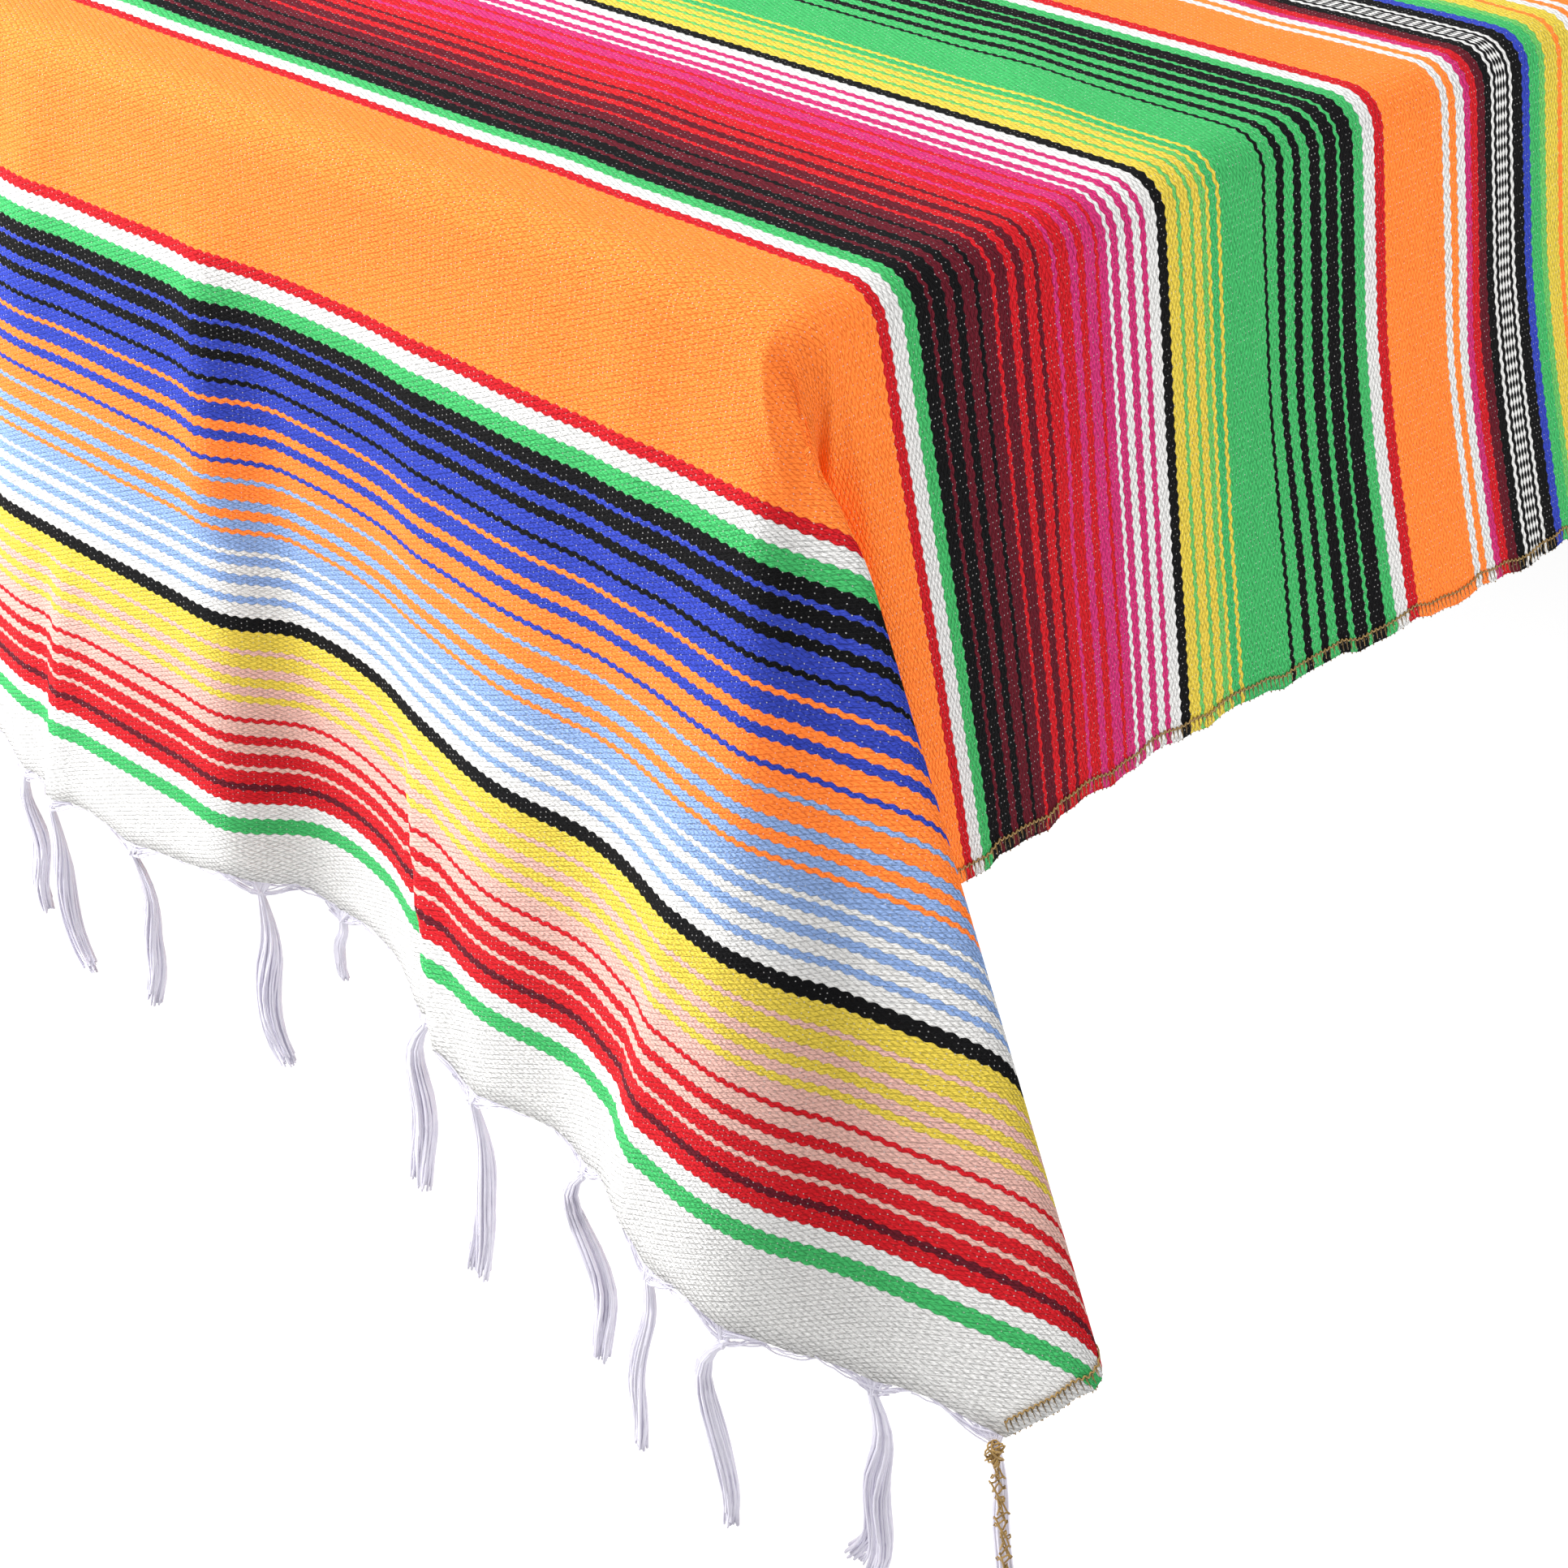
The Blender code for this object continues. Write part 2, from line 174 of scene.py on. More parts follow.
def corner_walk(centre, first_out, second_out, rows, end_first):
    """Lines fan out through a quarter turn, and the rows are spaced by their arc on the unit ball."""
    leans = np.asarray(rows)
    down = np.column_stack([leans, -np.ones(len(leans))])
    down /= np.linalg.norm(down, axis=1, keepdims=True)
    arc = np.append(0, np.cumsum(np.arccos(np.clip((down[1:] * down[:-1]).sum(1), -1, 1))))
    knots = arc / arc[-1] * pi / 2
    marks = [atan2(SIDE_DROP - CUT_ALONG_END, END_DROP), atan2(SIDE_DROP, END_DROP - CUT_UP_SIDE)]
    if not end_first:
        marks = [pi / 2 - mark for mark in reversed(marks)]
    angles = np.array([0.0])
    for begin, finish in zip([0.0] + marks, marks + [pi / 2]):
        steps = max(2, round((finish - begin) / CORNER_STEP))
        angles = np.append(angles, np.linspace(begin, finish, steps + 1)[1:])
    share = (angles / (pi / 2))[:, None]
    axes = np.array([first_out, second_out], float)
    outward = np.column_stack([np.cos(angles), np.sin(angles)]) @ axes
    down_end, over_side = np.cos(angles), np.sin(angles)
    if not end_first:
        down_end, over_side = over_side, down_end
    cut = END_DROP / CUT_UP_SIDE + SIDE_DROP / CUT_ALONG_END - 1
    reach = np.minimum.reduce([
        END_DROP / np.maximum(down_end, TINY),
        SIDE_DROP / np.maximum(over_side, TINY),
        cut / (down_end / CUT_UP_SIDE + over_side / CUT_ALONG_END),
    ])
    plain = leans[0] * (1 - share) + leans[-1] * share
    folded = smooth_rows(knots, leans, angles)
    start = np.tile(centre, (len(angles), 1))
    return Walk(start, outward, plain @ axes, folded @ axes, reach)


def rim_walk(start, outward, travel, length, columns, table, first_lean, last_lean, drop):
    """Lines side by side along one rim, at the leans of its table."""
    knots = [0.0] + [row.place for row in table] + [length]
    leans = [first_lean] + [(row.out, row.along) for row in table] + [last_lean]
    places = np.linspace(0, length, columns + 1)[1:-1]
    axes = np.array([outward, travel], float)
    lean = smooth_rows(knots, leans, places) @ axes
    starts = start + places[:, None] * axes[1]
    outwards = np.tile(axes[0], (len(places), 1))
    return Walk(starts, outwards, lean, lean, np.full(len(places), drop))


def walk_round():
    """The eight stretches of the rim, anticlockwise from above, joined into single arrays."""
    half = np.array([TOP_LENGTH, TOP_WIDTH]) / 2
    west, south = np.array([-1.0, 0.0]), np.array([0.0, -1.0])
    east, north = -west, -south
    left, right = ear_rows("near_left", True), ear_rows("near_right", False)
    far_right, far_left = ear_rows("far_right", True), ear_rows("far_left", False)

    def leaving(rows):
        return rows[-1][1], -rows[-1][0]

    corners = [half * signs for signs in ((-1, 1), (-1, -1), (1, -1), (1, 1))]
    stretches = [
        rim_walk(corners[0], west, south, TOP_WIDTH, COLUMNS_ACROSS, NEAR_END,
                 leaving(far_left), left[0], END_DROP),
        corner_walk(corners[1], west, south, left, True),
        rim_walk(corners[1], south, east, TOP_LENGTH, COLUMNS_ALONG, NEAR_SIDE,
                 leaving(left), right[0], SIDE_DROP),
        corner_walk(corners[2], south, east, right, False),
        rim_walk(corners[2], east, north, TOP_WIDTH, COLUMNS_ACROSS, FAR_END,
                 leaving(right), far_right[0], END_DROP),
        corner_walk(corners[3], east, north, far_right, True),
        rim_walk(corners[3], north, west, TOP_LENGTH, COLUMNS_ALONG, FAR_SIDE,
                 leaving(far_right), far_left[0], SIDE_DROP),
        corner_walk(corners[0], north, west, far_left, False),
    ]
    return Walk(*[np.concatenate(parts) for parts in zip(*stretches)])


walk = walk_round()
STATIONS = len(walk.reach)
print(STATIONS, "stations round the rim")

# %% [markdown]
# The tassels are listed here, because their knots also shape the hem. The place is in metres along
# the hem, then come millimetres: length, width, a bow, an S-shaped curl, a kink below the knot and
# the drift of the tip. The knot is a share of the largest one, and the split parts the tip, in mm.

# %% Table of tassels
Tassel = namedtuple("Tassel", "place length width bow curl kink drift knot split")
TASSELS = (
    Tassel(-0.682, 116, 11, 4, 2, 3, -9, 1.0, 0),
    Tassel(-0.628, 121, 14, -7, 4, -3, 6, 0.7, 3),
    Tassel(-0.552, 112, 10, 6, -5, 2, 0, 1.0, 0),
    Tassel(-0.481, 118, 16, -3, 7, -4, -8, 0.8, 4),
    Tassel(-0.405, 124, 12, 8, 2, 3, 7, 0.7, 0),
    Tassel(-0.332, 110, 15, -5, -6, 4, 4, 1.0, 3),
    Tassel(-0.262, 119, 12, 3, 5, -3, -6, 0.8, 0),
    Tassel(-0.187, 100, 13, 2, 0, -4, 4, 0.7, 0),
    Tassel(-0.145, 114, 15, -5, 4, 1, 18, 0.6, 3),
    Tassel(-0.064, 106, 14, 12, 3, 3, 8, 0.6, 0),
    Tassel(0.051, 121, 18, -4, 4, 1, 9, 0.7, 0),
    Tassel(0.102, 44, 7, -4, 0, 2, -4, 0.4, 0),
    Tassel(0.218, 120, 16, -2, -5, -5, -13, 0.6, 4),
    Tassel(0.291, 124, 13, 9, 0, 2, -5, 1.0, 4),
    Tassel(0.380, 124, 14, 3, -10, -6, 8, 1.0, 0),
    Tassel(0.475, 116, 9, -2, 1, 2, -8, 0.6, 0),
    Tassel(0.538, 117, 13, -8, -7, -4, 5, 0.9, 0),
    Tassel(0.623, 120, 15, 10, -2, 4, -4, 0.7, 6),
    Tassel(0.682, 116, 9, 2, 0, 2, 13, 0.7, 0),
)

# %% [markdown]
# A real hem isn't straight. The knots draw it down a few millimetres, the cloth between them rides
# up by as much as 16 mm, and the overlocked side edges ripple. The edge's reach is varied for that.

# %% The uneven edge
TASSEL_PLACES = np.array([row.place for row in TASSELS])
KNOT_PULL = 0.0045
KNOT_PULL_WIDTH = 0.016
RIPPLE = 0.0016
LONG_RIPPLE = 0.011
SHORT_RIPPLE = 0.0047
Rise = namedtuple("Rise", "place height width")
RISES = (
    Rise(-0.590, 0.006, 0.030),
    Rise(-0.440, 0.012, 0.060),
    Rise(-0.225, 0.007, 0.034),
    Rise(0.040, 0.016, 0.045),
    Rise(0.250, 0.006, 0.030),
    Rise(0.430, 0.010, 0.040),
    Rise(0.580, -0.004, 0.026),
)

flat_edge = walk.start + walk.outward * walk.reach[:, None]
on_hem = np.abs(np.abs(flat_edge[:, 0]) - CLOTH_LENGTH / 2) < TINY
# A place counts towards the near left corner on the near end, and away from it on the far one.
hem_place = flat_edge[:, 1] * np.sign(flat_edge[:, 0])
from_knot = np.abs(hem_place[:, None] - TASSEL_PLACES).min(axis=1)
pulled = KNOT_PULL * np.exp(-((from_knot / KNOT_PULL_WIDTH) ** 2)) - 0.6 * KNOT_PULL
pulled -= sum(r.height * np.exp(-(((hem_place - r.place) / r.width) ** 2)) for r in RISES)
along_edge = np.append(0, np.cumsum(np.linalg.norm(np.diff(flat_edge, axis=0), axis=1)))
rippled = RIPPLE * (np.sin(along_edge / LONG_RIPPLE) + 0.7 * np.sin(along_edge / SHORT_RIPPLE + 1))
edge_reach = walk.reach + np.where(on_hem, pulled, rippled)
print(f"edge reach {edge_reach.min():.3f} to {edge_reach.max():.3f} m")

# %% [markdown]
# The small creases lie on the drape as soft troughs and ridges. Each is a line on the flat cloth
# with its own width and height. Height falls off across it as a bell curve and fades at its ends.

# %% Creases, listed one by one
Crease = namedtuple("Crease", "u0 v0 u1 v1 width height")
half_u, half_v = TOP_LENGTH / 2, TOP_WIDTH / 2
CREASES = (
    Crease(-0.650, -0.026, -0.800, -0.024, 0.014, 0.0050),
    Crease(-0.670, -0.062, -0.880, -0.074, 0.022, -0.0045),
    Crease(-0.900, -0.180, -1.180, -0.288, 0.011, -0.0060),
    Crease(-0.900, -0.206, -1.180, -0.314, 0.011, 0.0095),
    Crease(-0.880, 0.138, -1.160, 0.182, 0.010, -0.0035),
    Crease(-0.880, 0.115, -1.160, 0.159, 0.011, 0.0060),
    Crease(-0.590, 0.120, -0.760, 0.150, 0.022, 0.0035),
    Crease(-0.760, 0.190, -0.900, 0.215, 0.014, -0.0030),
    Crease(-0.575, -0.360, -0.760, -0.380, 0.022, 0.0030),
    Crease(-0.584, -0.446, -0.640, -0.478, 0.0055, 0.0026),
    Crease(-0.580, -0.458, -0.616, -0.500, 0.0080, -0.0038),
    Crease(-0.556, -0.458, -0.572, -0.560, 0.0080, 0.0036),
    Crease(-0.640, -0.200, -0.780, -0.215, 0.020, 0.0022),
    Crease(-0.900, -0.420, -1.030, -0.400, 0.012, -0.0030),
    Crease(-0.800, -0.520, -1.000, -0.560, 0.016, 0.0030),
    Crease(-0.520, -0.250, -0.360, -0.180, 0.030, 0.0016),
    Crease(-0.500, 0.120, -0.330, 0.060, 0.026, 0.0020),
    Crease(-0.300, -0.390, -0.180, -0.250, 0.022, 0.0018),
    Crease(-0.100, -0.360, 0.060, -0.300, 0.026, -0.0012),
    Crease(0.020, -0.440, 0.100, -0.240, 0.020, 0.0016),
    Crease(-0.380, -0.450, -0.400, -0.600, 0.018, 0.0025),
    Crease(-0.230, -0.460, -0.210, -0.640, 0.020, -0.0028),
    Crease(-0.050, -0.455, -0.060, -0.600, 0.022, 0.0030),
    Crease(0.150, -0.450, 0.160, -0.700, 0.024, -0.0034),
    Crease(0.330, -0.460, 0.340, -0.690, 0.018, 0.0030),
    Crease(0.570, -0.180, 0.780, -0.200, 0.018, 0.0045),
    Crease(0.600, 0.080, 0.860, 0.060, 0.016, -0.0045),
    Crease(0.640, 0.260, 0.900, 0.300, 0.020, 0.0040),
    Crease(-0.150, 0.460, -0.140, 0.680, 0.020, -0.0032),
    Crease(0.220, 0.460, 0.240, 0.640, 0.022, 0.0030),
    Crease(-0.350, 0.450, -0.330, 0.620, 0.018, 0.0028),
    Crease(0.260, 0.100, 0.420, 0.240, 0.030, 0.0018),
    Crease(-0.060, 0.220, 0.100, 0.150, 0.028, -0.0014),
)
CREASE_FADE = 0.25

# Below a soft line across the near side, the cloth there kicks out and along.
KICK_LINE = -0.575
KICK_FROM = -0.360
KICK_TO = 0.480
KICK_FADE = 0.26
KICK_BY = np.array([0.010, -0.013, 0.0])


def kick_share(uv):
    """How far a place is into the kick: 0 at its line and beyond its ends, rising to 1 at the hem."""
    below = np.clip((KICK_LINE - uv[..., 1]) / (KICK_LINE + half_v + SIDE_DROP), 0, 1)
    ends = np.clip((uv[..., 0] - KICK_FROM) / KICK_FADE, 0, 1)
    ends = ends * np.clip((KICK_TO - uv[..., 0]) / KICK_FADE, 0, 1)
    return below**1.5 * ends**2 * (3 - 2 * ends)


def crease_height(uv):
    """Sum over the creases: height times a bell curve of the distance, faded along its length."""
    total = np.zeros(uv.shape[:-1])
    for c in CREASES:
        begin, line = np.array([c.u0, c.v0]), np.array([c.u1 - c.u0, c.v1 - c.v0])
        along = ((uv - begin) @ line) / (line @ line)
        nearest = begin + np.clip(along, 0, 1)[..., None] * line
        off = np.linalg.norm(uv - nearest, axis=-1)
        inside = np.minimum(along + CREASE_FADE, 1 + CREASE_FADE - along)
        fade = np.clip(inside / (2 * CREASE_FADE), 0, 1)
        total += c.height * np.exp(-((off / c.width) ** 2)) * fade**2 * (3 - 2 * fade)
    return total


print(len(CREASES), "creases")

# %% [markdown]
# ## The panel
#
# The hanging part is a grid of stations by rings, and the top is a grid whose border columns are
# the same stations. The two share the border's vertices, so the cloth has no seam there.

# %% Points of the hanging cloth
BEND_RINGS = 5
HANG_RINGS = 54
RING_CROWDING = 1.3


def hanging_points(walk, depths):
    """From level, an arc of the bend's radius turns down to the lean, then runs straight."""
    count = len(walk.reach)
    start = np.column_stack([walk.start, np.full(count, WALL)])
    outward = np.column_stack([walk.outward, np.zeros(count)])
    formed = np.clip(depths / FOLD_FORMS, 0, 1)[:, None]
    formed = formed**2 * (3 - 2 * formed)
    lean = walk.near_lean + (walk.far_lean - walk.near_lean) * formed
    down = np.column_stack([lean, -np.ones(count)])
    down /= np.linalg.norm(down, axis=1, keepdims=True)
    level = (down * outward).sum(axis=1, keepdims=True)
    turn = np.arccos(np.clip(level, -1, 1))
    side = down - level * outward
    side /= np.linalg.norm(side, axis=1, keepdims=True)
    angle = np.minimum(depths[:, None] / BEND_RADIUS, turn)
    rest = np.maximum(depths[:, None] - BEND_RADIUS * turn, 0)
    bend = BEND_RADIUS * (np.sin(angle) * outward + (1 - np.cos(angle)) * side)
    return start + bend + rest * down


def hanging_grid():
    """Positions, unit normals and flat coordinates of every ring, as ring by station arrays."""
    depths = [np.full(STATIONS, BEND_LENGTH * i / BEND_RINGS) for i in range(BEND_RINGS + 1)]
    hang = edge_reach - BEND_LENGTH
    shares = (np.arange(1, HANG_RINGS + 1) / HANG_RINGS) ** RING_CROWDING
    depths += [BEND_LENGTH + hang * share for share in shares]
    depths = np.array(depths)
    points = np.array([hanging_points(walk, depth) for depth in depths])
    flat = walk.start + walk.outward * depths[..., None]
    round_rim = np.roll(points, -1, axis=1) - np.roll(points, 1, axis=1)
    normal = np.cross(np.gradient(points, axis=0), round_rim)
    normal /= np.linalg.norm(normal, axis=2, keepdims=True) + NOT_ZERO
    normal[0] = (0, 0, 1)
    points = points + normal * crease_height(flat)[..., None] + kick_share(flat)[..., None] * KICK_BY
    return points, normal, flat


grid, grid_normal, grid_flat = hanging_grid()
print("lowest hem point", round(float(grid[..., 2].min()), 4))

# %% Points of the flat top, and the faces of both
xs = np.linspace(-half_u, half_u, COLUMNS_ALONG + 1)
ys = np.linspace(-half_v, half_v, COLUMNS_ACROSS + 1)
top_flat = np.stack(np.meshgrid(xs, ys, indexing="ij"), axis=-1)
top = np.dstack([top_flat, WALL + crease_height(top_flat)])


def top_vertex(place):
    """Index of the top's grid vertex that lies at each flat place."""
    column = np.rint((place[:, 0] + half_u) / TOP_LENGTH * COLUMNS_ALONG).astype(int)
    row = np.rint((place[:, 1] + half_v) / TOP_WIDTH * COLUMNS_ACROSS).astype(int)
    return column * (COLUMNS_ACROSS + 1) + row


def grid_quads(index):
    """Four-cornered faces between neighbours of a two-way table of vertex indices."""
    a, b, c, d = index[:-1, :-1], index[1:, :-1], index[1:, 1:], index[:-1, 1:]
    return np.stack([a, b, c, d], axis=-1).reshape(-1, 4)


top_index = np.arange(top_flat.shape[0] * top_flat.shape[1]).reshape(top_flat.shape[:2])
ring_index = top_index.size + np.arange((len(grid) - 1) * STATIONS).reshape(-1, STATIONS)
ring_index = np.vstack([top_vertex(walk.start), ring_index])
ring_index = np.column_stack([ring_index, ring_index[:, 0]])
quads = np.vstack([grid_quads(top_index), grid_quads(ring_index)])
faces = [[v for i, v in enumerate(q) if v != q[i - 1]] for q in quads.tolist()]
vertices = np.vstack([top.reshape(-1, 3), grid[1:].reshape(-1, 3)])
vertex_flat = np.vstack([top_flat.reshape(-1, 2), grid_flat[1:].reshape(-1, 2)])
print(len(vertices), "vertices,", len(faces), "faces before the wall")

# %% Make the panel


def new_piece(name, vertices, faces, material=None):
    """A mesh object at the origin that rides on the one body."""
    mesh = bpy.data.meshes.new(name)
    mesh.from_pydata(vertices, [], faces)
    mesh.validate()
    mesh.polygons.foreach_set("use_smooth", np.full(len(mesh.polygons), True))
    if material:
        mesh.materials.append(material)
    piece = bpy.data.objects.new(name, mesh)
    bpy.context.scene.collection.objects.link(piece)
    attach(piece, "root")
    return piece


def add_flat_map(piece, flat):
    """A UV map in metres on the flat cloth, read by the weave's material."""
    corner_vertex = np.empty(len(piece.data.loops), int)
    piece.data.loops.foreach_get("vertex_index", corner_vertex)
    layer = piece.data.uv_layers.new(name="flat_cloth")
    layer.data.foreach_set("uv", flat[corner_vertex].astype(np.float32).ravel())


panel = new_piece("serape_cloth", vertices, faces)
add_flat_map(panel, vertex_flat)
wall = panel.modifiers.new("wall", "SOLIDIFY")
wall.thickness = WALL
wall.offset = -1
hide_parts("serape_panel")
print("normal at the top:", tuple(round(n, 2) for n in panel.data.polygons[0].normal))

# %% [markdown]
# ## A small helper for materials
#
# A shader formula reads best as a formula. `Number` wraps one socket, and each operator on it adds
# the Math node that does it. `Finish` holds a material, and its `node` method makes any other node.

# %% Numbers and finishes


class Number:
    """A number that changes over the surface, as the output socket of a node."""

    def __init__(self, finish, socket):
        self.finish, self.socket = finish, socket

    def __add__(self, other):
        return self.finish.math("ADD", self, other)

    def __sub__(self, other):
        return self.finish.math("SUBTRACT", self, other)

    def __rsub__(self, other):
        return self.finish.math("SUBTRACT", other, self)

    def __mul__(self, other):
        return self.finish.math("MULTIPLY", self, other)

    def __truediv__(self, other):
        return self.finish.math("DIVIDE", self, other)

    def __gt__(self, other):
        return self.finish.math("GREATER_THAN", self, other)

    __radd__ = __add__


class Finish:
    """A material with one surface shader, whose fixed values are set on its own sockets."""

    def __init__(self, name, **fixed):
        self.material = bpy.data.materials.new(name)
        self.material.use_nodes = True
        self.tree = self.material.node_tree
        self.surface = self.tree.nodes["Principled BSDF"]
        for socket, value in fixed.items():
            self.surface.inputs[socket.replace("_", " ")].default_value = value

    def node(self, kind, settings=None, values=None):
        """Any node: its settings first, then a value or a link for each of its sockets."""
        node = self.tree.nodes.new("ShaderNode" + kind)
        for name, setting in (settings or {}).items():
            if name == "stops":
                self.set_stops(node.color_ramp, setting)
            else:
                setattr(node, name, setting)
        for socket, value in (values or {}).items():
            self.feed(node.inputs[socket], value)
        return node

    def set_stops(self, ramp, stops):
        """Fill a ramp with stops of position and colour, each colour held until the next."""
        ramp.interpolation = "CONSTANT"
        while len(ramp.elements) < len(stops):
            ramp.elements.new(0.5)
        for element, (position, colour) in zip(ramp.elements, stops):
            element.position = position
            element.color = colour

    def feed(self, socket, value):
        """Link what comes from a node, or set a plain value."""
        if isinstance(value, Number):
            self.tree.links.new(value.socket, socket)
        elif isinstance(value, bpy.types.NodeSocket):
            self.tree.links.new(value, socket)
        else:
            socket.default_value = value

    def math(self, operation, *values):
        """The result of one step of arithmetic on numbers that may change over the surface."""
        node = self.node("Math", {"operation": operation}, dict(enumerate(values)))
        return Number(self, node.outputs[0])

    def noise(self, vector, scale, detail):
        """Smooth noise from 0 to 1 over a vector."""
        node = self.node("TexNoise", {}, {"Vector": vector, "Scale": scale, "Detail": detail})
        return Number(self, node.outputs["Fac"])

    def speckle(self, vector):
        """A different random number from 0 to 1 for each vector."""
        node = self.node("TexWhiteNoise", {"noise_dimensions": "2D"}, {"Vector": vector})
        return Number(self, node.outputs["Value"])

    def vector(self, x, y, z=0.0):
        """Three numbers as one vector, or as the parts of a colour."""
        return self.node("CombineXYZ", {}, {"X": x, "Y": y, "Z": z}).outputs[0]

    def mix(self, factor, first, second, blend="MIX"):
        """First colour where the factor is 0, second where it is 1."""
        settings = {"data_type": "RGBA", "blend_type": blend}
        return self.node("Mix", settings, {0: factor, 6: first, 7: second}).outputs[2]

    def smooth_step(self, value, low, high):
        """0 below low, 1 above high, eased between."""
        settings = {"interpolation_type": "SMOOTHSTEP"}
        values = {"Value": value, "From Min": low, "From Max": high}
        return Number(self, self.node("MapRange", settings, values).outputs[0])

    def raise_by(self, height, distance):
        """Bump the surface by a height from 0 to 1, times a distance in metres."""
        bump = self.node("Bump", {}, {"Height": height, "Distance": distance, "Strength": 1.0})
        self.feed(self.surface.inputs["Normal"], bump.outputs[0])


def colour(red, green, blue):
    """A colour in screen values, 0 to 255, as the linear values that shaders use."""
    screen = np.array([red, green, blue]) / 255
    linear = np.where(screen <= 0.04045, screen / 12.92, ((screen + 0.055) / 1.055) ** 2.4)
    return (*[float(value) for value in linear], 1.0)


# %% [markdown]
# ## The stripes
#
# A weaver counts picks, the single passes of weft. Between two colours the serape fades by
# counting: a thin line of the new colour, then wider ones, while the old colour's lines grow thin.
# The near half's count runs from the hem inward, and the far half mirrors it. Between them is a
# middle band. Its ladder is woven pick and pick, one white and one black in turn, so that every
# white pick passes over the same warps and the white floats stand above each other as rungs.

# %% Yarns and picks
YARN = {
    "white": colour(237, 236, 234),
    "green": colour(70, 188, 106),
    "lime": colour(112, 200, 104),
    "red": colour(212, 28, 38),
    "maroon": colour(100, 22, 36),
    "pink": colour(234, 184, 172),
    "yellow": colour(234, 207, 78),
    "black": colour(11, 11, 13),
    "sky": colour(146, 176, 228),
    "blue": colour(54, 72, 186),
    "orange": colour(255, 139, 60),
    "magenta": colour(212, 50, 118),
}
OUTER_STRIPES = (
    "white 32 green 7 white 7 red 6 maroon 3 red 6 pink 2 red 6 pink 4 red 4 pink 6 red 2 pink 7 "
    "yellow 3 pink 4 yellow 4 pink 4 yellow 6 pink 2 yellow 8 black 6 "
    "white 6 sky 3 white 5 sky 4 white 4 sky 4 white 2 sky 7 "
    "orange 2 sky 4 orange 4 sky 4 orange 7 sky 2 orange 6 "
    "blue 2 orange 7 blue 4 orange 4 blue 7 orange 2 blue 6 "
    "black 2 blue 7 black 4 blue 4 black 6 blue 2 black 6 "
    "green 7 white 7 red 5 orange 86 red 5 white 7 green 6 "
    "black 6 maroon 2 black 6 maroon 4 black 4 maroon 6 black 2 maroon 6 "
    "red 2 maroon 6 red 4 maroon 4 red 5 maroon 2 red 6 "
    "magenta 2 red 6 magenta 4 red 4 magenta 6 red 2 magenta 5 "
    "white 2 magenta 4 white 4 magenta 4 white 4 magenta 3 white 6 black 5 "
    "yellow 6 lime 2 yellow 5 lime 2 yellow 4 lime 3 yellow 2 green 4 yellow 2 green 26 "
    "black 2 green 6 black 4 green 5 black 4 green 5 black 6 green 3 black 7 green 2 black 8 "
    "green 6 white 7 red 6 orange 36"
)
MIDDLE_STRIPES = (
    "white 4 orange 4 white 5 magenta 4 red 5 maroon 6 black 5 "
    "white 2 black 2 white 1 black 1 white 1 black 1 white 1 black 1 white 1 black 2 white 2 "
    "black 7 blue 5 green 7 lime 4 yellow 9 orange 3 yellow 8 white 5 orange 4 white 4"
)


def stripe_list(words):
    """Pairs of colour and picks from a weaver's note."""
    parts = words.split()
    return [(name, int(count)) for name, count in zip(parts[::2], parts[1::2])]


outer, middle = stripe_list(OUTER_STRIPES), stripe_list(MIDDLE_STRIPES)
OUTER_PICKS = sum(count for _, count in outer)
MIDDLE_PICKS = sum(count for _, count in middle)
ALL_PICKS = 2 * OUTER_PICKS + MIDDLE_PICKS
PICK = CLOTH_LENGTH / ALL_PICKS
print(f"{len(outer)} stripes a half, {ALL_PICKS} picks of {PICK * 1000:.2f} mm")

# %% [markdown]
# ## The weave
#
# Each pick shows as a row of floats, one warp pitch long, and the next row's floats lie half a
# pitch along. A float is fat at its middle and thin where it dives under the warp, so every
# stripe's edge is scalloped, and a white dot of warp shows between the floats' ends.

# %% Rows of floats
WARP_PITCH = 0.0068
SWELL = 0.36
RAMP_STOPS = 30
RAMP_PICKS = 118
WANDER_SCALE = 9.0
WANDER_PICKS = 2.2

weave = Finish("striped_weave", Roughness=0.85, Specular_IOR_Level=0.12, Emission_Strength=1.0)
flat_map = weave.node("UVMap", {"uv_map": "flat_cloth"})
split = weave.node("SeparateXYZ", {}, {"Vector": flat_map.outputs[0]})
across = Number(weave, split.outputs["X"])
along = Number(weave, split.outputs["Y"])
wander = weave.noise(weave.vector(across * 0.3, along), WANDER_SCALE, 2.0) - 0.5
pick_place = (across + CLOTH_LENGTH / 2) / PICK + wander * WANDER_PICKS

# The border between two rows is a wave, and the wave turns over from each border to the next.
border = weave.math("FLOOR", pick_place + 0.5)
border_wave = weave.math("COSINE", (along * (2 / WARP_PITCH) + border) * pi)
row = border - 1 + (pick_place > border + border_wave * SWELL)
float_place = along / WARP_PITCH + row * 0.5
float_number = weave.math("FLOOR", float_place)
float_along = float_place - float_number - 0.5
thickness = 1 - weave.math("COSINE", float_place * (2 * pi)) * (2 * SWELL)
float_across = (pick_place - row - 0.5) / thickness


# %% The colour of each row
def ramp_sections(stripes):
    """Cut a list of stripes into stretches short enough for one ramp each."""
    sections, start, place, stops = [], 0, 0, []
    for name, count in stripes:
        if len(stops) == RAMP_STOPS or place + count - start > RAMP_PICKS:
            sections.append((start, stops))
            start, stops = place, []
        stops.append((place - start, name))
        place += count
    return sections + [(start, stops)]


